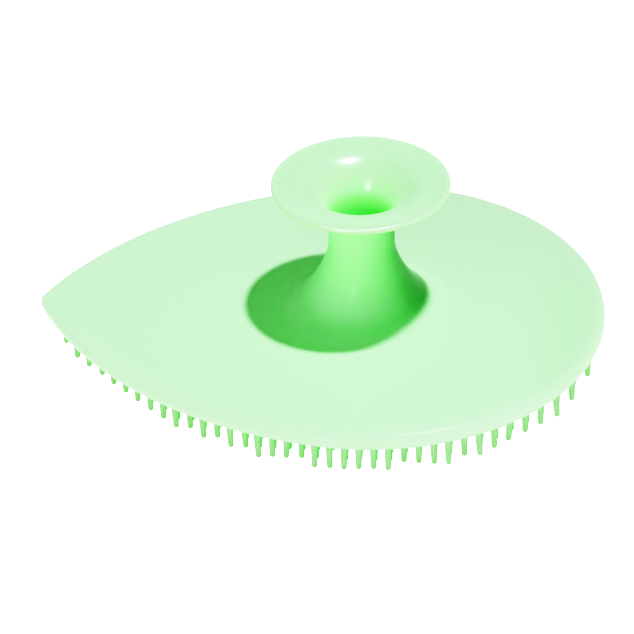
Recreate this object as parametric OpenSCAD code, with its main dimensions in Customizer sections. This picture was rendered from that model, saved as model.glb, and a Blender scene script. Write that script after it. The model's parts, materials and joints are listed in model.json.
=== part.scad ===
// Silicone facial cleansing brush: a teardrop pad with a field of soft bristles below and a
// hollow trumpet handle above, whose mouth is a suction cup for hanging it on a tile or mirror.
//
// The whole brush is moulded in one piece of silicone. Here it is divided where it bends, so
// each zone is a rigid solid and each bend is a joint: the pointed tip and the round heel bend
// on lines across the pad, the stem rocks in a round seat in its flared foot, the cup rocks on
// the stem's domed top, and the lip moves down as the wall of the cup flattens.
//
// The origin is under the middle of the pad's length and width, at the plane of the bristle
// ends. -X points to the tip, +X to the heel, and +Z to the cup's mouth. Sizes are in millimetres.

/* [Pad] */
// Length of the pad, from the point of the tip to the end of the heel
pad_length = 88; // [84:1:92]
// Width of the pad, twice the radius of its round heel
pad_width = 71.6; // [70:0.4:73.2]
// Distance of the heel's centre from the stem's axis, towards the heel
heel_offset = 1.7; // [1:0.1:3]
// Radius of the two long sides that run from the heel to the tip
side_radius = 62; // [58:1:70]
// Radius of the rounded point of the tip
tip_radius = 1.6; // [1:0.1:3]
// Thickness of the pad, without its bristles
pad_thickness = 2.4; // [2:0.1:2.6]
// Thickness of the lower skin that carries the bristles
mat_thickness = 0.5; // [0.4:0.1:0.8]

/* [Bristles] */
// Length of a bristle below the pad
bristle_length = 4.5; // [3:0.1:6]
// Radius of a bristle where it leaves the pad
bristle_root_r = 0.62; // [0.5:0.02:0.64]
// Radius of a bristle where its rounded end starts
bristle_tip_r = 0.46; // [0.36:0.02:0.46]
// Radius of the small flat on the end of a bristle
bristle_flat_r = 0.14; // [0.1:0.02:0.2]
// Distance between bristles, along and across the pad
pitch = 2.2; // [2.2:0.05:3]
// Least distance from a bristle's axis to the edge of the pad
bristle_inset = 1; // [0.8:0.1:2]
// The same distance near the tip
tip_inset = 1.8; // [1:0.1:3]

/* [Stem] */
// Radius of the flared foot where it runs out on the pad
foot_radius = 13; // [11:0.5:15]
// Height of the flared foot above the pad
foot_height = 11.4; // [10:0.2:13]
// Fullness of the flare: 2 makes it a quarter ellipse, and less makes it straighter
foot_fullness = 1.5; // [1.4:0.1:2]
// Outer radius of the stem at its waist
stem_radius = 5.1; // [5:0.05:5.5]
// Radius of the blind hollow in the stem
hollow_radius = 4.2; // [3.6:0.1:4.2]
// Height above the pad of the point that the stem rocks about
stem_pivot = 8.2; // [8.2:0.1:9]

/* [Cup] */
// Radius of the cup at its lip
cup_radius = 13.6; // [12.6:0.1:15]
// Height of the cup's mouth above the bottom of the pad
cup_height = 24.6; // [24:0.1:25.4]
// Thickness of the lip
lip_thickness = 0.7; // [0.6:0.1:1]
// Width of the rounding over the top of the lip's edge
lip_round = 1.2; // [0.8:0.1:1.4]
// Width of the flat sealing land on the lip
lip_land = 0.5; // [0.3:0.1:0.8]
// Fall of the inside of the lip, from the land to the wall of the cup
lip_dish = 0.2; // [0.1:0.1:0.4]
// Depth of the cup from its mouth to the top of the straight hollow
cup_depth = 8.8; // [8.2:0.1:9.2]

/* [Bends] */
// Bristle columns between the stem's axis and the bend of the tip
tip_columns = 10; // [9:1:14]
// Bristle columns between the stem's axis and the bend of the heel
heel_columns = 9; // [7:1:11]
// Gap at every bend, on the radius
bend_gap = 0.05; // [0.03:0.01:0.08]

/* [Hidden] */

silicone = [0.66, 0.95, 0.68];
shaded_silicone = [0.45, 0.88, 0.45];
arc_step = 3;
curve_steps = 24;
round_fn = 96;
bristle_fn = 24;

// Heights
pad_z = bristle_length;
pad_top = pad_z + pad_thickness;
mat_top = pad_z + mat_thickness;
waist_z = pad_top + foot_height;
mouth_z = pad_z + cup_height;

// Outline of the pad. Each long side is an arc that touches the heel's circle and the tip's
// small circle from inside. side_c is the centre of the arc on the +Y side.
heel_r = pad_width / 2;
heel_c = [pad_length / 2 - heel_r, 0];
tip_c = [tip_radius - pad_length / 2, 0];
stem_x = heel_c.x - heel_offset;
tip_reach = side_radius - tip_radius;
heel_reach = side_radius - heel_r;
side_x = (tip_c.x + heel_c.x) / 2 + (tip_reach ^ 2 - heel_reach ^ 2) / (2 * (heel_c.x - tip_c.x));
side_c = [side_x, -sqrt(heel_reach ^ 2 - (side_x - heel_c.x) ^ 2)];
heel_angle = atan2(heel_c.y - side_c.y, heel_c.x - side_c.x);
tip_angle = atan2(tip_c.y - side_c.y, tip_c.x - side_c.x);

// Bends across the pad lie halfway between two columns of bristles.
tip_bend_x = stem_x - (tip_columns + 0.5) * pitch;
heel_bend_x = stem_x + (heel_columns + 0.5) * pitch;
bend_r = pad_thickness / 2;
bend_z = pad_z + bend_r;
// A bristle is set this deep in the mat.
root_set = 0.05;
// The bristles draw in from the edge over this length beyond the bend of the tip.
inset_run = 4 * pitch;

// The stem rocks about its pivot on a round end that sits in the foot, clear of the pad.
seat_floor = 0.8;
stem_floor = 1.2;
pivot_z = pad_top + stem_pivot;
seat_r = stem_pivot - seat_floor;
// The floor's outer corner is the closest that the hollow comes to the stem's round lower end.
hollow_floor_z = pivot_z - sqrt(pow(seat_r - stem_floor, 2) - pow(hollow_radius, 2));
// The cup rocks on the domed top of the stem, whose centre is inside the stem.
dome_height = 11.2;
dome_margin = 1;
dome_z = pad_top + dome_height;
dome_r = stem_radius + dome_margin;
dome_top_z = dome_z + dome_r;
// The cup's wall runs from the throat at wall_z out to an upright cylinder at lip_r.
wall_drop = 0.2;
lip_width = 3.2;
wall_z = dome_top_z - wall_drop;
lip_r = cup_radius - lip_width;
land_r = cup_radius - lip_round - lip_land;
// The lip's edge is an ellipse above its widest place and a circle below it.
edge_low_r = 0.35;
edge_z = mouth_z - lip_thickness + edge_low_r;
// The underside of the cup leaves the stem this far below the dome's top.
under_drop = 2.5;
// The throat is drawn this far below its own lowest point, and the dome cuts it off.
skirt = 1;

// Points of an arc about centre, from one angle up to another but without its last point
function arc(centre, r, from, to) =
    let (steps = 2 * ceil((to - from) / arc_step / 2))
        [for (i = [0 : steps - 1]) let (a = from + (to - from) * i / steps) centre + r * [cos(a), sin(a)]];

// A quarter turn from its flat end [r, z] to its upright end, as [r, z] points
function quarter(flat, upright, fullness = 2) =
    [for (i = [0 : curve_steps]) let (a = 90 * i / curve_steps)
        [flat.x + (upright.x - flat.x) * sin(a) ^ (2 / fullness),
         upright.y + (flat.y - upright.y) * cos(a) ^ (2 / fullness)]];

// Height of such a quarter turn at a radius, and its radius at a height
function quarter_z(flat, upright, r, fullness = 2) =
    let (share = (r - flat.x) / (upright.x - flat.x))
        upright.y + (flat.y - upright.y) * (1 - share ^ fullness) ^ (1 / fullness);
function quarter_r(flat, upright, z, fullness = 2) =
    let (share = (z - upright.y) / (flat.y - upright.y))
        flat.x + (upright.x - flat.x) * (1 - share ^ fullness) ^ (1 / fullness);

// Ends of the curves of the foot, of the cup's under side and of its inside
foot_out = [foot_radius, pad_top];
foot_in = [stem_radius, waist_z];
under_out = [cup_radius - edge_low_r, mouth_z - lip_thickness];
under_in = [stem_radius, dome_top_z - under_drop];
inside_out = [lip_r, mouth_z - lip_dish];
inside_in = [hollow_radius, mouth_z - cup_depth];

// Distance of a point of the pad from its edge
function edge_distance(x, y) =
    x > heel_c.x + heel_r * cos(heel_angle)
        ? heel_r - norm([x, y] - heel_c)
        : side_radius - norm([x, abs(y)] - side_c);

// Least distance of a bristle from the edge, which grows towards the tip
function inset_at(x) =
    bristle_inset + (tip_inset - bristle_inset) * min(max((tip_bend_x - x) / inset_run, 0), 1);

function reversed(points) = [for (i = [len(points) - 1 : -1 : 0]) points[i]];

module outline() {
    mirrored = [side_c.x, -side_c.y];
    polygon(concat(
        arc(heel_c, heel_r, -heel_angle, heel_angle),
        arc(side_c, side_radius, heel_angle, tip_angle),
        arc(tip_c, tip_radius, tip_angle, 360 - tip_angle),
        arc(mirrored, side_radius, 360 - tip_angle, 360 - heel_angle)));
}

// A layer of the pad between two heights, across part of its length
module pad_slab(x_from, x_to, low, high) {
    translate([0, 0, low]) linear_extrude(high - low) intersection() {
        outline();
        translate([x_from, -pad_width]) square([x_to - x_from, 2 * pad_width]);
    }
}

// A rod across the pad on a bend's axis
module bend_rod(x, r) {
    translate([x, 0, bend_z]) rotate([90, 0, 0])
        cylinder(r = r, h = 2 * pad_width, center = true, $fn = round_fn);
}

// A layer of the middle of the pad, with a groove for each bend
module middle_layer(low, high) {
    difference() {
        pad_slab(tip_bend_x, heel_bend_x, low, high);
        bend_rod(tip_bend_x, bend_r + bend_gap);
        bend_rod(heel_bend_x, bend_r + bend_gap);
    }
}

// A layer of one end of the pad, from x_from to x_to, with a round nose on its bend
module end_layer(x_from, x_to, bend_x, low, high) {
    pad_slab(x_from, x_to, low, high);
    intersection() {
        bend_rod(bend_x, bend_r);
        pad_slab(bend_x - bend_r, bend_x + bend_r, low, high);
    }
}

module tip_layer(low, high) {
    end_layer(-pad_length, tip_bend_x, tip_bend_x, low, high);
}

module heel_layer(low, high) {
    end_layer(heel_bend_x, pad_length, heel_bend_x, low, high);
}

// One bristle, standing on its tip: a slim cone with a rounded end and a root set in the mat
module bristle() {
    root_z = bristle_length + root_set;
    round_end = [for (a = [30 : 30 : 90])
        [bristle_flat_r + (bristle_tip_r - bristle_flat_r) * sin(a), bristle_tip_r * (1 - cos(a))]];
    rotate_extrude($fn = bristle_fn)
        polygon(concat([[0, 0], [bristle_flat_r, 0]], round_end,
            [[bristle_root_r, bristle_length], [bristle_root_r, root_z], [0, root_z]]));
}

// Bristles between two places along the pad, on a square grid that straddles the pad's middle
module bristle_field(x_from, x_to) {
    columns = ceil(pad_length / pitch);
    rows = ceil(heel_r / pitch);
    for (i = [-columns : columns], j = [-rows : rows - 1])
        let (x = stem_x + i * pitch, y = (j + 0.5) * pitch)
            if (x > x_from && x < x_to && edge_distance(x, y) >= inset_at(x))
                translate([x, y, 0]) bristle();
}

module pad_plate() {
    color(silicone) middle_layer(mat_top, pad_top);
}

module tip_plate() {
    color(silicone) tip_layer(mat_top, pad_top);
}

module heel_plate() {
    color(silicone) heel_layer(mat_top, pad_top);
}

module middle_bristles() {
    color(shaded_silicone) {
        middle_layer(pad_z, mat_top);
        bristle_field(tip_bend_x, heel_bend_x);
    }
}

module tip_bristles() {
    color(shaded_silicone) {
        tip_layer(pad_z, mat_top);
        bristle_field(-pad_length, tip_bend_x);
    }
}

module heel_bristles() {
    color(shaded_silicone) {
        heel_layer(pad_z, mat_top);
        bristle_field(heel_bend_x, pad_length);
    }
}

// Turns [r, z] points about the stem's axis.
module revolve(points) {
    translate([stem_x, 0, 0]) rotate_extrude($fn = round_fn) polygon(points);
}

module ball(z, r) {
    translate([stem_x, 0, z]) sphere(r = r, $fn = round_fn);
}

// A cylinder on the stem's axis between two heights
module post(low, high, r) {
    translate([stem_x, 0, low]) cylinder(r = r, h = high - low, $fn = round_fn);
}

// The flared foot, with the round seat for the stem
module stem_foot() {
    flare = [for (p = quarter(foot_out, foot_in, foot_fullness)) if (p.y < pivot_z) p];
    pivot_flare_r = quarter_r(foot_out, foot_in, pivot_z, foot_fullness);
    color(silicone) difference() {
        revolve(concat([[0, pad_top]], flare, [[pivot_flare_r, pivot_z], [0, pivot_z]]));
        ball(pivot_z, seat_r);
    }
}

// The stem, with a round lower end, a domed top and a blind hollow
module stem() {
    flare = quarter(foot_out, foot_in, foot_fullness);
    color(silicone) difference() {
        intersection() {
            revolve(concat([[0, pad_top]], flare, [[stem_radius, mouth_z], [0, mouth_z]]));
            union() {
                ball(pivot_z, seat_r - bend_gap);
                post(pivot_z, dome_z, foot_radius);
                ball(dome_z, dome_r - bend_gap);
            }
        }
        post(hollow_floor_z, mouth_z, hollow_radius);
    }
}

// The curves of the cup's under side and inside, from the stem out
under_side = reversed(quarter(under_out, under_in));
inside = reversed(quarter(inside_out, inside_in));
throat_under = [quarter_r(under_out, under_in, wall_z), wall_z];
throat_inside = [quarter_r(inside_out, inside_in, wall_z), wall_z];
lip_under = [lip_r, quarter_z(under_out, under_in, lip_r)];

// The throat of the cup, seated over the stem's dome
module cup_throat() {
    skirt_z = min(under_in.y, inside_in.y) - skirt;
    under = [for (p = under_side) if (p.y < wall_z) p];
    inner = [for (p = inside) if (p.y < wall_z) p];
    color(silicone) difference() {
        revolve(concat([[hollow_radius, skirt_z], [stem_radius, skirt_z]], under,
            [throat_under, throat_inside], reversed(inner)));
        ball(dome_z, dome_r);
    }
}

// The wall of the cup, which flattens as the lip is pressed down
module cup_wall() {
    under = [for (p = under_side) if (p.y > wall_z && p.x < lip_r) p];
    inner = [for (p = inside) if (p.y > wall_z && p.x < lip_r) p];
    color(silicone)
        revolve(concat([throat_under], under, [lip_under, inside_out], reversed(inner), [throat_inside]));
}

// The lip: the outer band of the cup, with a flat sealing land and a round edge
module cup_lip() {
    under = [for (p = under_side) if (p.x > lip_r) p];
    low_edge = [for (a = [-60 : 30 : -30])
        [cup_radius - edge_low_r * (1 - cos(a)), edge_z + edge_low_r * sin(a)]];
    high_edge = [for (a = [0 : 15 : 90])
        [cup_radius - lip_round * (1 - cos(a)), edge_z + (mouth_z - edge_z) * sin(a)]];
    color(silicone)
        revolve(concat([lip_under], under, low_edge, high_edge, [[land_r, mouth_z], inside_out]));
}

pad_plate();
tip_plate();
heel_plate();
middle_bristles();
tip_bristles();
heel_bristles();
stem_foot();
stem();
cup_throat();
cup_wall();
cup_lip();
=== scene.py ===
"""Looks for a silicone facial cleansing brush: smooth skins over the rigid zones of the CAD frame,
domed bristles, one silicone material with painted light and shade, a white floor and studio light.

Lengths are in millimetres until finish_mesh() turns them into metres. The frame's +Z is up, -X is
the pointed tip and +X the round heel, and the bristles stand on z = 0.
"""
import json
import math
import random

import bmesh
import bpy
from mathutils import Matrix, Vector


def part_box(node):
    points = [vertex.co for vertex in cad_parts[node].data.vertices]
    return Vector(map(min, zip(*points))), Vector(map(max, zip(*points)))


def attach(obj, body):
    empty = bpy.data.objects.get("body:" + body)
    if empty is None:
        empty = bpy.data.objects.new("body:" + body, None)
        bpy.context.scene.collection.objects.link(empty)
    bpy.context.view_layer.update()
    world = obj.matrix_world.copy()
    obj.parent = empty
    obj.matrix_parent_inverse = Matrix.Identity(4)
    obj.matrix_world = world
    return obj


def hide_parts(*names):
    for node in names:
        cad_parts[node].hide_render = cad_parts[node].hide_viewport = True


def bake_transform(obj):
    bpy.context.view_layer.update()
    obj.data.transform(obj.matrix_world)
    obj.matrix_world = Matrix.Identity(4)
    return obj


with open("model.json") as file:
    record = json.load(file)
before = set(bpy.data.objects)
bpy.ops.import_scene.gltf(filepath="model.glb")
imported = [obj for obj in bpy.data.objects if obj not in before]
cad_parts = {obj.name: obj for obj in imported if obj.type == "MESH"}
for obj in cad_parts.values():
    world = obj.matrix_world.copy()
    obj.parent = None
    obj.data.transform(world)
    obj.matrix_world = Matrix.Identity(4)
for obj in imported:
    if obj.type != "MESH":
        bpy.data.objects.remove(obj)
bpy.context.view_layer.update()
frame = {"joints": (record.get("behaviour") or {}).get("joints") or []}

MM = 0.001


def box_mm(node):
    low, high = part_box(node)
    return low / MM, high / MM


def pivot_mm(joint):
    found = next(j for j in frame["joints"] if j["name"] == joint)
    return Vector(found["pos_m"]) / MM


# Pad: the plates, and under them the thin skin that the bristles grow from
BRISTLE_SKIN = 0.5
TIP_X = box_mm("tip_plate")[0].x
HEEL_X = box_mm("heel_plate")[1].x
PAD_TOP = box_mm("pad_plate")[1].z
PAD_LOW = box_mm("tip_plate")[0].z - BRISTLE_SKIN
HEEL_R = box_mm("pad_plate")[1].y
SIDE_R = 62.0
TIP_R = 1.6
EDGE_TOP_R = 1.5
EDGE_LOW_R = 0.5
# Steps round the heel, along each long side and round the tip
OUTLINE_STEPS = (150, 110, 30)
# Stem and cup. The lip's round bead stands a little proud of the CAD's lip.
PROUD_R = 0.15
PROUD_Z = 0.1
LIP_LOW, LIP_HIGH = box_mm("cup_lip")
STEM_X = (LIP_LOW.x + LIP_HIGH.x) / 2
LIP_R = (LIP_HIGH.x - LIP_LOW.x) / 2 + PROUD_R
MOUTH_Z = LIP_HIGH.z + PROUD_Z
FOOT_R = 13.0
FOOT_H = 11.4
FOOT_FULLNESS = 1.5
STEM_R = 5.1
HOLLOW_R = 4.2
HOLLOW_FLOOR = PAD_TOP + 3.6
HOLLOW_ROUND = 1.2
CUP_UNDER_Z = PAD_TOP + 14.8
CUP_DEPTH = 8.8
LIP_WIDTH = 3.2
LIP_DISH = 0.25
BEAD_R = 0.48
WALL_Z = box_mm("cup_throat")[1].z
LATHE_SIDES = 192
# Where one skin ends and the next begins
FOOT_SEAM_R = 9.0
STEM_SEAM_Z = PAD_TOP + 8.4
TIP_SEAM_X = STEM_X - 14.7
HEEL_SEAM_X = STEM_X + 14.3
# A ring this close to a seam keeps the shading smooth across it.
SEAM_STEP = 0.03
# Edges sharper than this are shaded as corners.
SHARP_DEG = 38
# Bristles
PITCH = 2.2
BRISTLE_ROOT_R = 0.62
BRISTLE_TIP_R = 0.46
BRISTLE_SIDES = 12
BRISTLE_ROOT_DEPTH = 0.4
# Fillet at the root: (wider than BRISTLE_ROOT_R by, below the pad by)
BRISTLE_FILLET = [(0.1, 0.0), (0.02, 0.1), (-0.02, 0.3)]
# A bristle leans by a random share of its length, and is up to this much short.
USUAL_LEAN = 0.035
MOST_LEAN = 0.09
MOST_SHORT = 0.12
# Least distance of a bristle from the edge, in the middle and at the tip
BRISTLE_INSET = 1.0
TIP_INSET = 1.8
INSET_RUN = 4 * PITCH

TIP_BEND = pivot_mm("tip_flex")
HEEL_BEND = pivot_mm("heel_flex")


# ---------------------------------------------------------------- outline of the pad

class Outline:
    """The teardrop: a heel circle, two side arcs tangent to it and a small tip circle."""

    def __init__(self):
        self.heel = Vector((HEEL_X - HEEL_R, 0))
        self.tip = Vector((TIP_X + TIP_R, 0))
        reach_tip, reach_heel = SIDE_R - TIP_R, SIDE_R - HEEL_R
        x = (self.tip.x + self.heel.x) / 2
        x += (reach_tip**2 - reach_heel**2) / (2 * (self.heel.x - self.tip.x))
        self.side = Vector((x, -math.sqrt(reach_heel**2 - (x - self.heel.x) ** 2)))
        self.heel_angle = math.atan2(self.heel.y - self.side.y, self.heel.x - self.side.x)
        self.tip_angle = math.atan2(self.tip.y - self.side.y, self.tip.x - self.side.x)

    def points(self):
        """[(point, outward unit normal)] all round, anticlockwise from the start of the heel."""
        heel_steps, side_steps, tip_steps = OUTLINE_STEPS
        mirrored = Vector((self.side.x, -self.side.y))
        turn = 2 * math.pi
        arcs = [
            (self.heel, HEEL_R, -self.heel_angle, self.heel_angle, heel_steps),
            (self.side, SIDE_R, self.heel_angle, self.tip_angle, side_steps),
            (self.tip, TIP_R, self.tip_angle, turn - self.tip_angle, tip_steps),
            (mirrored, SIDE_R, turn - self.tip_angle, turn - self.heel_angle, side_steps),
        ]
        made = []
        for centre, r, start, end, count in arcs:
            for i in range(count):
                a = start + (end - start) * i / count
                n = Vector((math.cos(a), math.sin(a)))
                made.append((centre + r * n, n))
        return made

    def distance(self, x, y):
        """Distance of a point of the pad from the edge."""
        if x > self.heel.x + HEEL_R * math.cos(self.heel_angle):
            return HEEL_R - (Vector((x, y)) - self.heel).length
        return SIDE_R - (Vector((x, abs(y))) - self.side).length


OUTLINE = Outline()


def quarter(flat, upright, count, start=0.0, end=1.0, fullness=2.0):
    """Points [r, z] of a quarter turn that is level at flat and upright at upright."""
    made = []
    for i in range(count + 1):
        a = math.pi / 2 * (start + (end - start) * i / count)
        out, up = abs(math.sin(a)) ** (2 / fullness), abs(math.cos(a)) ** (2 / fullness)
        r = flat[0] + (upright[0] - flat[0]) * out
        z = upright[1] + (flat[1] - upright[1]) * up
        made.append((r, z))
    return made


def share_at_r(flat, upright, r, fullness=2.0):
    """The share of a quarter turn at which it reaches r."""
    return math.asin(((r - flat[0]) / (upright[0] - flat[0])) ** (fullness / 2)) / (math.pi / 2)


def share_at_z(flat, upright, z, fullness=2.0):
    """The share of a quarter turn at which it reaches z."""
    return math.acos(((z - upright[1]) / (flat[1] - upright[1])) ** (fullness / 2)) / (math.pi / 2)


def step_towards(p, q):
    """The point one seam step from p on the way to q."""
    return tuple(u + (v - u) * SEAM_STEP / math.dist(p, q) for u, v in zip(p, q))


def with_seams(points, first=True, last=True):
    """The same points with an extra one close to each end that is a seam."""
    made = list(points)
    if last:
        made.insert(-1, step_towards(points[-1], points[-2]))
    if first:
        made.insert(1, step_towards(points[0], points[1]))
    return made


def straight(start, end, shares):
    """Points at the given shares of the way from start to end."""
    return [tuple(u + (v - u) * t for u, v in zip(start, end)) for t in shares]


# Ends of the quarter turns of the foot, and of the under side and the inside of the cup
FOOT_OUT, FOOT_IN = (FOOT_R, PAD_TOP), (STEM_R, PAD_TOP + FOOT_H)
UNDER_OUT, UNDER_IN = (LIP_R - BEAD_R, MOUTH_Z - 2 * BEAD_R), (STEM_R, CUP_UNDER_Z)
INSIDE_OUT, INSIDE_IN = (LIP_R - LIP_WIDTH, MOUTH_Z - LIP_DISH), (HOLLOW_R, MOUTH_Z - CUP_DEPTH)
# Shares of those quarter turns at which one skin ends and the next begins
FOOT_SEAM = share_at_r(FOOT_OUT, FOOT_IN, FOOT_SEAM_R, FOOT_FULLNESS)
FOOT_SEAM_Z = quarter(FOOT_OUT, FOOT_IN, 1, FOOT_SEAM, 1, FOOT_FULLNESS)[0][1]
STEM_SEAM = share_at_z(FOOT_OUT, FOOT_IN, STEM_SEAM_Z, FOOT_FULLNESS)
UNDER_SEAM = share_at_z(UNDER_OUT, UNDER_IN, WALL_Z)
INSIDE_SEAM = share_at_z(INSIDE_OUT, INSIDE_IN, WALL_Z)


# ---------------------------------------------------------------- colours, with painted light and shade
#
# A look function gives the tint, the painted light and the gloss of the silicone at a place in
# millimetres. The painted light is emission that stands in for light that the silicone passes on, and for
# the lamps' light on lit sides, edges and the lip.

# Two painted copies of the silicone's green: the first is its saturated colour as painted for faces in
# shade, the second the same green with a painted milky sheen from the lamp's light.
DEEP_SHADED_GREEN = Vector((0.12, 0.88, 0.12))
PALE_LIT_GREEN = Vector((0.42, 0.95, 0.43))


def ramp(x, low, high):
    """Smooth step from 0 at low to 1 at high, where low may be the greater of the two."""
    t = min(max((x - low) / (high - low), 0.0), 1.0)
    return t * t * (3 - 2 * t)


def stops(x, *pairs):
    """Straight lines between (x, colour) pairs in rising order of x."""
    if x <= pairs[0][0]:
        return Vector(pairs[0][1])
    for (a, p), (b, q) in zip(pairs, pairs[1:]):
        if x <= b:
            return Vector(p).lerp(Vector(q), (x - a) / (b - a))
    return Vector(pairs[-1][1])


def pad_look(co, _normal):
    """A painted milky sheen on top, and painted light at the edge, lightest there, where light passes
    through the thin silicone.
    """
    r = math.hypot(co.x - STEM_X, co.y)
    if r < FOOT_R + 0.3 and co.z > PAD_TOP - 0.05:
        return stem_look(co)
    if co.z < PAD_LOW + 0.05:
        # Underneath: the pale tint a quarter darker, with a faint painted green light.
        return PALE_LIT_GREEN * 0.75, Vector((0.02, 0.1, 0.02)), 0.3
    upward = min(max((co.z - PAD_TOP + EDGE_TOP_R) / EDGE_TOP_R, 0.0), 1.0)
    downward = (PAD_LOW + EDGE_LOW_R - co.z) / EDGE_LOW_R
    # Painted shade: a little darker at the far side and at the end of the heel
    back = ramp(co.y, -18, 32) * (0.25 + 0.75 * ramp(co.x, -20, 15))
    side = ramp(co.x, 28, 42) * (1 - back)
    tint = PALE_LIT_GREEN * Vector((1 - 0.15 * back - 0.14 * side, 1 - 0.22 * back - 0.08 * side,
                          1 - 0.15 * back - 0.15 * side))
    # Painted light on the round edge, and a little painted pale light on the top near the edge.
    edge = (1 - upward) * ramp(downward, 0.8, 0.0)
    rim_light = 0.06 * ramp(OUTLINE.distance(co.x, co.y), 4.0, 0.8) * upward
    painted_light = Vector((0.85, 1.6, 0.78)) * edge + Vector((rim_light, 0, rim_light))
    gloss = 0.1 + 0.25 * ramp(upward, 0.97, 1.0) * ramp(r, FOOT_R + 0.5, FOOT_R + 5)
    return tint, painted_light, gloss


def stem_look(co):
    """Painted green light fills the stem, most near its top and at the front. The foot has painted shade,
    darkest at the right, and turns to the pale lit tint where it meets the pad."""
    level = Vector((co.x - STEM_X, co.y))
    high = co.z - PAD_TOP
    # The painted bright side turns a little with the height. aside is 1 there and -1 across from it.
    lit = math.radians(-17 - 8 * ramp(high, 10, 2))
    aside = level.normalized().dot(Vector((math.sin(lit), -math.cos(lit))))
    # low is 1 out where the foot meets the pad, and dark is 1 in the painted shade of the hollow at the
    # right.
    right = ramp(level.x, 3, 7)
    front = ramp(-level.y, 2, 9) * (1 - right)
    low = ramp(level.length, 8 + 1.6 * right + 2 * front, 12 - 0.8 * right + front)
    dark = ramp(level.x, 3.5, 8.5) * ramp(level.y, -8, 0) * (1 - low) * ramp(high, 8, 3)
    # Painted shade on the side away from the light, painted darker still in the hollow, and the pale lit
    # tint where the foot meets the pad.
    shade = DEEP_SHADED_GREEN * (0.55 + 0.45 * ramp(aside, -0.5, 0.5) + 0.4 * ramp(-aside, 0.4, 0.9))
    tint = shade.lerp(DEEP_SHADED_GREEN * 0.15, dark).lerp(PALE_LIT_GREEN, low)
    # Painted light, most on the side that faces the light and weaker at the back, growing with the height.
    facing = max((aside + 0.1) / 1.1, 0.0) ** (2.2 - 0.04 * high)
    facing += 0.6 * max((-0.42 - aside) / 0.58, 0.0) ** 1.5
    painted_light = stops(high, (0, (0, 0, 0)), (2, (0.1, 0.18, 0.1)), (4, (0.24, 0.52, 0.25)),
                 (6, (0.3, 1.05, 0.29)), (8.3, (0.37, 1.9, 0.33)), (14, (0.47, 2.4, 0.4)))
    return tint, painted_light * facing + Vector((0.01, 0.3, 0.015)) * dark, 0.03


def inside_look(co):
    """The funnel of the cup: a painted milky sheen at the lip, and painted shade with bright green painted
    light down the throat.
    """
    depth = MOUTH_Z - co.z
    # Painted sheen, a little lighter towards the front.
    front = ramp(-co.y, 0, 11)
    sheen_tint = PALE_LIT_GREEN * Vector((0.9 + 0.13 * front, 0.96 + 0.1 * front, 0.88 + 0.12 * front))
    tint = sheen_tint.lerp(DEEP_SHADED_GREEN, ramp(depth, 2.0, 6.0))
    gloss = 0.85 - 0.6 * ramp(depth, 2.0, 5.0)
    painted_light = stops(depth, (1.0, (0, 0, 0)), (2.8, (0.23, 0.2, 0.15)), (4.6, (0.37, 1.5, 0.34)),
                 (6.0, (0.15, 1.1, 0.08)), (7.5, (0.01, 0.15, 0)), (12.0, (0, 0.08, 0)))
    return tint, painted_light, gloss


def outside_look(co):
    """The cup from outside: painted light and shade like the stem below, and the pale lit tint with
    painted light at the lip.
    """
    tint, painted_light, gloss = stem_look(co)
    lip = ramp(math.hypot(co.x - STEM_X, co.y), 9.0, 13.0)
    return tint.lerp(PALE_LIT_GREEN, lip), painted_light.lerp(Vector((0.45, 0.85, 0.22)), lip), gloss + (0.5 - gloss) * lip


def bead_look(co, normal):
    """The bead round the lip: painted light on its outside, with a painted highlight at the front."""
    edge = ramp(normal.z, 0.95, 0.2)
    # Painted highlight along the front of the bead.
    painted_highlight = ramp(normal.z, 0.35, 0.6) * ramp(normal.z, 0.95, 0.75) * ramp(-normal.y, 0.3, 0.55)
    painted_highlight *= ramp(abs(co.x - STEM_X), 6.5, 2.0)
    return PALE_LIT_GREEN, Vector((0.5, 0.95, 0.26)) * edge + Vector((0.55, 0.6, 0.5)) * painted_highlight, 0.8


def cup_look(co, normal):
    """Bead, inside or outside of the stem and cup, by place and by which way the surface faces."""
    r = math.hypot(co.x - STEM_X, co.y)
    if co.z > MOUTH_Z - 2 * BEAD_R and r > LIP_R - 2 * BEAD_R:
        return bead_look(co, normal)
    outward = (co.x - STEM_X) * normal.x + co.y * normal.y
    if outward < 0 or r < HOLLOW_R + 0.02:
        return inside_look(co)
    return outside_look(co)


# ---------------------------------------------------------------- meshes

def place_object(name, data):
    obj = bpy.data.objects.new(name, data)
    bpy.context.collection.objects.link(obj)
    return obj


def finish_mesh(name, bm, look):
    """Makes the object in metres; look(place, normal) gives each vertex its tint, painted light and gloss.
    """
    bmesh.ops.remove_doubles(bm, verts=bm.verts, dist=1e-5)
    bmesh.ops.recalc_face_normals(bm, faces=bm.faces)
    bm.normal_update()
    tint_layer = bm.verts.layers.float_color.new("tint")
    painted_light_layer = bm.verts.layers.float_color.new("painted_light")
    for v in bm.verts:
        tint, painted_light, gloss = look(v.co, v.normal)
        v[tint_layer] = (*tint, gloss)
        v[painted_light_layer] = (*painted_light, 1)
    limit = math.radians(SHARP_DEG)
    for face in bm.faces:
        face.smooth = True
    for edge in bm.edges:
        if len(edge.link_faces) == 2:
            edge.smooth = edge.calc_face_angle() < limit
    bmesh.ops.scale(bm, vec=Vector((MM, MM, MM)), verts=bm.verts)
    mesh = bpy.data.meshes.new(name)
    bm.to_mesh(mesh)
    bm.free()
    mesh.materials.append(SILICONE)
    return place_object(name, mesh)


def bridge(bm, a, b):
    """Quads between two closed rings of equal length."""
    count = len(a)
    for i in range(count):
        j = (i + 1) % count
        bm.faces.new((a[i], a[j], b[j], b[i]))


def fan(bm, ring, centre):
    """Triangles between a closed ring and one vertex."""
    count = len(ring)
    for i in range(count):
        bm.faces.new((ring[i], ring[(i + 1) % count], centre))


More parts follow.
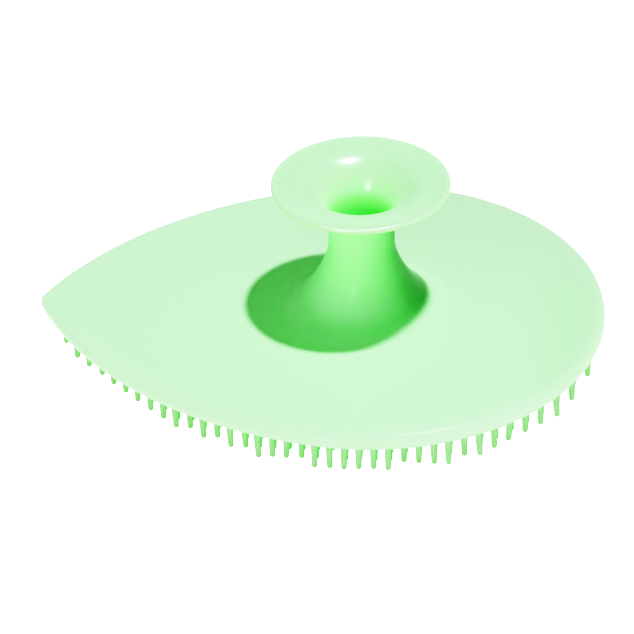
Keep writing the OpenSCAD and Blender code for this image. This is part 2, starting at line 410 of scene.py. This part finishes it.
def turned(bm, x, y, r, z, sides):
    """A level ring of new vertices."""
    angles = (2 * math.pi * i / sides for i in range(sides))
    return [bm.verts.new((x + r * math.cos(a), y + r * math.sin(a), z)) for a in angles]


def lathe(profile):
    """A closed body turned from [r, z] points about the stem's axis. The ends of the profile lie on
    the axis, or else its first and last points are joined."""
    bm = bmesh.new()
    rings = []
    for r, z in profile:
        if r < 1e-6:
            rings.append(bm.verts.new((STEM_X, 0, z)))
        else:
            rings.append(turned(bm, STEM_X, 0, r, z, LATHE_SIDES))
    closed = profile[0][0] > 1e-6
    pairs = zip(rings, rings[1:] + (rings[:1] if closed else []))
    for a, b in pairs:
        if isinstance(a, list) and isinstance(b, list):
            bridge(bm, a, b)
        elif isinstance(a, list):
            fan(bm, a, b)
        elif isinstance(b, list):
            fan(bm, b, a)
    return bm


def pad_solid():
    """The whole pad with its round edge and the low part of the flared foot, as one closed body."""
    bm = bmesh.new()
    outline = OUTLINE.points()

    def ring(inset, z):
        return [bm.verts.new((p.x - n.x * inset, p.y - n.y * inset, z)) for p, n in outline]

    def round_edge(r, z, start, end, steps):
        """Rings round an edge of radius r, from one angle to another."""
        made = []
        for i in range(steps + 1):
            a = math.radians(start + (end - start) * i / steps)
            made.append(ring(r - r * math.cos(a), z + r * math.sin(a)))
        return made

    def between(outer, inner_points, steps):
        """Rings from an outer one to inner points, without the outer one."""
        made = []
        for i in range(1, steps + 1):
            t = i / steps
            made.append([bm.verts.new(v.co.lerp(Vector(q), t)) for v, q in zip(outer, inner_points)])
        return made

    aims = [Vector((p.x - STEM_X, p.y)).normalized() for p, _ in outline]

    def circle(r, z):
        return [(STEM_X + r * a.x, r * a.y, z) for a in aims]

    # Up round the edge, in over the top and up the foot, and then back out from under the edge
    rings = round_edge(EDGE_LOW_R, PAD_LOW + EDGE_LOW_R, -90, 0, 6)
    rings += round_edge(EDGE_TOP_R, PAD_TOP - EDGE_TOP_R, 0, 90, 9)
    rings += between(rings[-1], circle(FOOT_R, PAD_TOP), 34)
    flare = with_seams(quarter(FOOT_OUT, FOOT_IN, 16, 0, FOOT_SEAM, FOOT_FULLNESS), first=False)
    rings += [[bm.verts.new(p) for p in circle(r, z)] for r, z in flare[1:]]
    for a, b in zip(rings, rings[1:]):
        bridge(bm, a, b)
    fan(bm, rings[-1], bm.verts.new((STEM_X, 0, FOOT_SEAM_Z - 0.2)))
    under = [rings[0]] + between(rings[0], circle(4, PAD_LOW), 40)
    for a, b in zip(under, under[1:]):
        bridge(bm, b, a)
    fan(bm, under[-1], bm.verts.new((STEM_X, 0, PAD_LOW)))
    return bm


def cut(bm, x, keep):
    """Keeps the side of the plane at x that keep (+1 or -1) points to, and closes the cut."""
    geom = bm.verts[:] + bm.edges[:] + bm.faces[:]
    made = bmesh.ops.bisect_plane(bm, geom=geom, dist=1e-4, plane_co=(x, 0, 0),
                                  plane_no=(-keep, 0, 0), clear_outer=True)
    edges = [e for e in made["geom_cut"] if isinstance(e, bmesh.types.BMEdge)]
    bmesh.ops.holes_fill(bm, edges=edges, sides=0)


def bristle(bm, x, y, lean, heading, length):
    """One bristle as a closed tapered pin with a domed end. It leans, and its root is in the pad."""
    tip_z = PAD_LOW - length
    root_z = PAD_LOW + BRISTLE_ROOT_DEPTH
    fillet = [(BRISTLE_ROOT_R + wider, PAD_LOW - below) for wider, below in BRISTLE_FILLET]
    taper_low = (BRISTLE_TIP_R, tip_z + BRISTLE_TIP_R)
    profile = [(fillet[0][0], root_z)] + fillet
    profile += straight(fillet[-1], taper_low, (1 / 3, 2 / 3, 1))
    for a in (math.radians(d) for d in (25, 50, 72)):
        profile.append((BRISTLE_TIP_R * math.cos(a), taper_low[1] - BRISTLE_TIP_R * math.sin(a)))
    rings = []
    for r, z in profile:
        drop = max(0.0, PAD_LOW - z)
        bend = lean * (drop / length) ** 1.6 * length
        middle = (x + bend * math.cos(heading), y + bend * math.sin(heading))
        rings.append(turned(bm, *middle, r, z, BRISTLE_SIDES))
    for a, b in zip(rings, rings[1:]):
        bridge(bm, b, a)
    root = bm.verts.new((x, y, root_z))
    reach = lean * length
    end = bm.verts.new((x + reach * math.cos(heading), y + reach * math.sin(heading), tip_z))
    fan(bm, rings[0], root)
    fan(bm, rings[-1], end)


def least_inset(x):
    """Least distance of a bristle from the edge, which grows towards the tip."""
    return BRISTLE_INSET + (TIP_INSET - BRISTLE_INSET) * min(max((TIP_BEND.x - x) / INSET_RUN, 0), 1)


def bristle_places(x_from, x_to):
    """A square grid whose rows straddle the middle line."""
    columns = math.ceil((HEEL_X - TIP_X) / PITCH)
    rows = math.ceil(HEEL_R / PITCH)
    for i in range(-columns, columns + 1):
        for j in range(-rows, rows):
            x, y = STEM_X + i * PITCH, (j + 0.5) * PITCH
            if x_from < x < x_to and OUTLINE.distance(x, y) >= least_inset(x):
                yield x, y


def bristle_look(co, normal):
    """Pale where a bristle of the outermost row faces the lamp, saturated elsewhere."""
    x = STEM_X + round((co.x - STEM_X) / PITCH) * PITCH
    y = (abs(co.y) // PITCH + 1.5) * PITCH
    outer = OUTLINE.distance(x, y) < least_inset(x)
    aside = normal.dot(Vector((-0.5, -0.86, 0)))
    pale = ramp(aside, -0.2, 0.7) * (1.0 if outer else 0.15)
    tint = DEEP_SHADED_GREEN.lerp(PALE_LIT_GREEN * 0.85, pale)
    return tint, Vector((0.06, 0.6, 0.04)).lerp(Vector((0.19, 0.65, 0.08)), pale), 0.4


def bristle_zone(name, x_from, x_to, seed):
    """The bristles between two places along the brush, as one object."""
    draw = random.Random(seed)
    bm = bmesh.new()
    for x, y in bristle_places(x_from, x_to):
        lean = min(abs(draw.gauss(0, USUAL_LEAN)), MOST_LEAN)
        heading = draw.uniform(0, 2 * math.pi)
        length = PAD_LOW - draw.uniform(0.0, MOST_SHORT)
        bristle(bm, x, y, lean, heading, length)
    return finish_mesh(name, bm, bristle_look)


# ---------------------------------------------------------------- materials

SILICONE_IOR = 1.41
ROUGHNESS = 0.26
# Soft mottling, as noise cells per metre, and how far it changes saturation and roughness
MOTTLE_SCALE = 90
MOTTLE_COLOUR = 0.03
MOTTLE_ROUGHNESS = 0.04
# Fine grain
GRAIN_SCALE = 2600
GRAIN_STRENGTH = 0.06
GRAIN_HEIGHT = 0.03


def new_tree(owner):
    """The empty node tree of a material or a world."""
    owner.use_nodes = True
    owner.node_tree.nodes.clear()
    return owner.node_tree


def node(tree, kind, **values):
    made = tree.nodes.new(kind)
    for key, value in values.items():
        setattr(made, key, value)
    return made


def noise(tree, place, scale, detail):
    made = node(tree, "ShaderNodeTexNoise")
    made.inputs["Scale"].default_value = scale
    made.inputs["Detail"].default_value = detail
    tree.links.new(place.outputs["Object"], made.inputs["Vector"])
    return made.outputs["Fac"]


def spread(tree, source, low, high):
    """Turns a value from 0 to 1 into one from low to high."""
    made = node(tree, "ShaderNodeMapRange")
    made.inputs["To Min"].default_value = low
    made.inputs["To Max"].default_value = high
    tree.links.new(source, made.inputs["Value"])
    return made.outputs["Result"]


def without_scattered(tree, gloss):
    """The gloss, and none for light that was scattered off a matte surface: it would put bright
    specks on the pad."""
    path = node(tree, "ShaderNodeLightPath")
    direct = node(tree, "ShaderNodeMath", operation="SUBTRACT")
    direct.inputs[0].default_value = 1.0
    tree.links.new(path.outputs["Is Diffuse Ray"], direct.inputs[1])
    made = node(tree, "ShaderNodeMath", operation="MULTIPLY")
    tree.links.new(gloss, made.inputs[0])
    tree.links.new(direct.outputs[0], made.inputs[1])
    return made.outputs[0]


def make_silicone():
    """Satin silicone: its tint with painted light and shade, its painted light as emission, and its gloss
    come from the mesh, with fine mottling and grain.
    """
    mat = bpy.data.materials.new("silicone_green")
    tree = new_tree(mat)
    link = tree.links.new
    out = node(tree, "ShaderNodeOutputMaterial")
    shader = node(tree, "ShaderNodeBsdfPrincipled")
    shader.inputs["IOR"].default_value = SILICONE_IOR
    shader.inputs["Emission Strength"].default_value = 1.0
    link(shader.outputs["BSDF"], out.inputs["Surface"])
    tint = node(tree, "ShaderNodeAttribute", attribute_name="tint")
    painted_light = node(tree, "ShaderNodeAttribute", attribute_name="painted_light")
    link(painted_light.outputs["Color"], shader.inputs["Emission Color"])
    link(without_scattered(tree, tint.outputs["Alpha"]), shader.inputs["Specular IOR Level"])
    place = node(tree, "ShaderNodeTexCoord")
    mottle = noise(tree, place, MOTTLE_SCALE, 3)
    vary = node(tree, "ShaderNodeHueSaturation")
    link(spread(tree, mottle, 1 - MOTTLE_COLOUR, 1 + MOTTLE_COLOUR), vary.inputs["Saturation"])
    link(tint.outputs["Color"], vary.inputs["Color"])
    link(vary.outputs["Color"], shader.inputs["Base Color"])
    rough = spread(tree, mottle, ROUGHNESS - MOTTLE_ROUGHNESS, ROUGHNESS + MOTTLE_ROUGHNESS)
    link(rough, shader.inputs["Roughness"])
    bump = node(tree, "ShaderNodeBump")
    bump.inputs["Strength"].default_value = GRAIN_STRENGTH
    bump.inputs["Distance"].default_value = GRAIN_HEIGHT * MM
    link(noise(tree, place, GRAIN_SCALE, 2), bump.inputs["Height"])
    link(bump.outputs["Normal"], shader.inputs["Normal"])
    return mat


SILICONE = make_silicone()


# ---------------------------------------------------------------- pieces

def pad_skin(name, cuts):
    """The part of the pad that is left between its (x, side that is kept) cuts."""
    bm = pad_solid()
    for x, keep in cuts:
        cut(bm, x, keep)
    return finish_mesh(name, bm, pad_look)


def stem_low_skin():
    """The foot and the low part of the stem, down to the floor of the hollow."""
    outside = with_seams(quarter(FOOT_OUT, FOOT_IN, 30, FOOT_SEAM, STEM_SEAM, FOOT_FULLNESS))
    round_in, round_out = (HOLLOW_R - HOLLOW_ROUND, HOLLOW_FLOOR), (HOLLOW_R, HOLLOW_FLOOR + HOLLOW_ROUND)
    hollow = [(HOLLOW_R, STEM_SEAM_Z), (HOLLOW_R, STEM_SEAM_Z - SEAM_STEP)]
    hollow += straight(round_out, hollow[0], (0.75, 0.5, 0.25))
    hollow += quarter(round_in, round_out, 8)[::-1]
    ends = (0, FOOT_SEAM_Z - 0.1), (0, HOLLOW_FLOOR)
    return finish_mesh("stem_skin_low", lathe([ends[0]] + outside + hollow + [ends[1]]), cup_look)


def stem_high_skin():
    """The neck of the stem with the throat of the cup."""
    outside = quarter(FOOT_OUT, FOOT_IN, 18, STEM_SEAM, 1, FOOT_FULLNESS)
    outside += straight(FOOT_IN, UNDER_IN, (0.25, 0.5, 0.75))
    outside += quarter(UNDER_OUT, UNDER_IN, 14, UNDER_SEAM, 1)[::-1]
    inside = quarter(INSIDE_OUT, INSIDE_IN, 14, INSIDE_SEAM, 1)
    inside += straight((HOLLOW_R, STEM_SEAM_Z), INSIDE_IN, (0.8, 0.6, 0.4, 0.2, 0))
    return finish_mesh("stem_skin_high", lathe(with_seams(outside) + with_seams(inside)), cup_look)


def cup_skin():
    """The wall and the lip of the cup, with a round bead on the lip and a shallow dish inside it."""
    outside = quarter(UNDER_OUT, UNDER_IN, 30, 0, UNDER_SEAM)[::-1]
    # Round from the under side, in degrees, to just past the top
    bead = [(LIP_R - BEAD_R + BEAD_R * math.cos(a), MOUTH_Z - BEAD_R + BEAD_R * math.sin(a))
            for a in (math.radians(d) for d in range(-78, 121, 11))]
    width, fall = INSIDE_OUT[0] - bead[-1][0], bead[-1][1] - INSIDE_OUT[1]
    dish = [(bead[-1][0] + width * t, INSIDE_OUT[1] + fall * (1 - t) ** 2) for t in (0.12, 0.3, 0.5, 0.75)]
    inside = quarter(INSIDE_OUT, INSIDE_IN, 40, 0, INSIDE_SEAM)
    profile = with_seams(outside, last=False) + bead + dish + with_seams(inside, first=False)
    return finish_mesh("cup_skin", lathe(profile), cup_look)


pad_middle = pad_skin("pad_skin_middle", [(TIP_SEAM_X, 1), (HEEL_SEAM_X, -1)])
pad_tip = pad_skin("pad_skin_tip", [(TIP_SEAM_X, -1)])
pad_heel = pad_skin("pad_skin_heel", [(HEEL_SEAM_X, 1)])
stem_low = stem_low_skin()
stem_high = stem_high_skin()
cup = cup_skin()
bristles_middle = bristle_zone("bristles_middle", TIP_BEND.x, HEEL_BEND.x, 11)
bristles_tip = bristle_zone("bristles_tip", TIP_X, TIP_BEND.x, 12)
bristles_heel = bristle_zone("bristles_heel", HEEL_BEND.x, HEEL_X, 13)

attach(pad_middle, "pad")
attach(bristles_middle, "pad")
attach(bristles_tip, "tip")
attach(bristles_heel, "heel")


def bend_along(piece):
    """Bakes the piece's place into its mesh."""
    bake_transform(piece)


def bend_up(piece):
    """Bakes the piece's place into its mesh."""
    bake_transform(piece)


bend_along(pad_tip)
bend_along(pad_heel)
bend_up(stem_low)
bend_up(stem_high)
bend_up(cup)

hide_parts("pad_plate")
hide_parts("tip_plate")
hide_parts("heel_plate")
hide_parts("middle_bristles")
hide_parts("tip_bristles")
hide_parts("heel_bristles")
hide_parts("stem_foot", "stem")
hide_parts("cup_throat")
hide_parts("cup_wall", "cup_lip")


# ---------------------------------------------------------------- floor, light and camera
#
# Lengths are in metres from here on, but for the camera's lens and sensor.

CENTRE = Vector((STEM_X, 0, PAD_TOP)) * MM
LAMP_DISTANCE = 0.9
FLOOR_HALF = 3
# Strength at which the tone curve makes the backdrop white
WHITE = 12.0

CAMERA_AZIMUTH = 6.25
CAMERA_ELEVATION = 33.84
CAMERA_ROLL = -1.56
CAMERA_DISTANCE = 0.6391
CAMERA_AIM = Vector((-0.000644, -0.000712, 0.004604))
CAMERA_LENS = 233.55
CAMERA_SENSOR = 36

# Light at which the tone curve ends
TONE_END = 6.0


def show(tree, output, seen, otherwise):
    """Shows one shader to the camera, and the other to every other ray."""
    mix = node(tree, "ShaderNodeMixShader")
    path = node(tree, "ShaderNodeLightPath")
    tree.links.new(path.outputs["Is Camera Ray"], mix.inputs["Fac"])
    tree.links.new(otherwise.outputs[0], mix.inputs[1])
    tree.links.new(seen.outputs[0], mix.inputs[2])
    tree.links.new(mix.outputs[0], output.inputs["Surface"])


def add_floor():
    """A floor that looks white and gives back a little light."""
    bm = bmesh.new()
    bmesh.ops.create_grid(bm, x_segments=2, y_segments=2, size=FLOOR_HALF)
    mesh = bpy.data.meshes.new("floor")
    bm.to_mesh(mesh)
    bm.free()
    mat = bpy.data.materials.new("floor_white")
    tree = new_tree(mat)
    white = node(tree, "ShaderNodeEmission")
    white.inputs["Strength"].default_value = WHITE
    matte = node(tree, "ShaderNodeBsdfDiffuse")
    matte.inputs["Color"].default_value = (0.6, 0.6, 0.6, 1)
    show(tree, node(tree, "ShaderNodeOutputMaterial"), white, matte)
    mesh.materials.append(mat)
    place_object("floor", mesh)


def add_world():
    """A white backdrop, and a faint green light from all round."""
    world = bpy.data.worlds.new("studio")
    tree = new_tree(world)
    white = node(tree, "ShaderNodeBackground")
    white.inputs["Strength"].default_value = WHITE
    ambient = node(tree, "ShaderNodeBackground")
    ambient.inputs["Color"].default_value = (0.25, 1.0, 0.25, 1)
    ambient.inputs["Strength"].default_value = 0.36
    show(tree, node(tree, "ShaderNodeOutputWorld"), white, ambient)
    bpy.context.scene.world = world


def direction(azimuth, elevation):
    """Unit vector away from the brush. Azimuth 0 is the near side, -Y, and 90 is the heel, +X."""
    a, e = math.radians(azimuth), math.radians(elevation)
    return Vector((math.sin(a) * math.cos(e), -math.cos(a) * math.cos(e), math.sin(e)))


def lamp(name, size, power, azimuth, elevation, color=(1, 1, 1)):
    """A round lamp that points at the stem's foot."""
    data = bpy.data.lights.new(name, "AREA")
    data.shape = "DISK"
    data.size = size
    data.energy = power
    data.color = color
    obj = place_object(name, data)
    obj.location = CENTRE + direction(azimuth, elevation) * LAMP_DISTANCE
    obj.rotation_mode = "QUATERNION"
    obj.rotation_quaternion = (CENTRE - obj.location).to_track_quat("-Z", "Y")
    return obj


def add_camera():
    data = bpy.data.cameras.new("camera")
    data.sensor_width = CAMERA_SENSOR
    data.lens = CAMERA_LENS
    data.clip_start = 0.05
    data.clip_end = 20
    obj = place_object("camera", data)
    back = direction(CAMERA_AZIMUTH, CAMERA_ELEVATION)
    obj.location = CAMERA_AIM + back * CAMERA_DISTANCE
    obj.rotation_mode = "QUATERNION"
    roll = Matrix.Rotation(math.radians(CAMERA_ROLL), 3, "Z").to_quaternion()
    obj.rotation_quaternion = (-back).to_track_quat("-Z", "Y") @ roll
    bpy.context.scene.camera = obj


def set_tone():
    """Bends the tones so that a light of x comes out as 1 - exp(-x), which keeps pale greens soft."""
    view = bpy.context.scene.view_settings
    view.view_transform = "Standard"
    view.look = "None"
    view.use_curve_mapping = True
    curves = view.curve_mapping
    curves.white_level = (TONE_END, TONE_END, TONE_END)
    combined = curves.curves[3]
    for x in (0.02, 0.05, 0.1, 0.17, 0.25, 0.35, 0.5, 0.7):
        combined.points.new(x, 1 - math.exp(-x * TONE_END))
    curves.update()


add_floor()
lamp("key", 0.05, 19.2, 88, 79)
fill = lamp("fill", 0.45, 1.8, -35, 12, (0.6, 1, 0.64))
fill.visible_glossy = False
glint = lamp("glint", 0.09, 12.0, -18, 20)
glint.visible_diffuse = False
add_world()
add_camera()
set_tone()
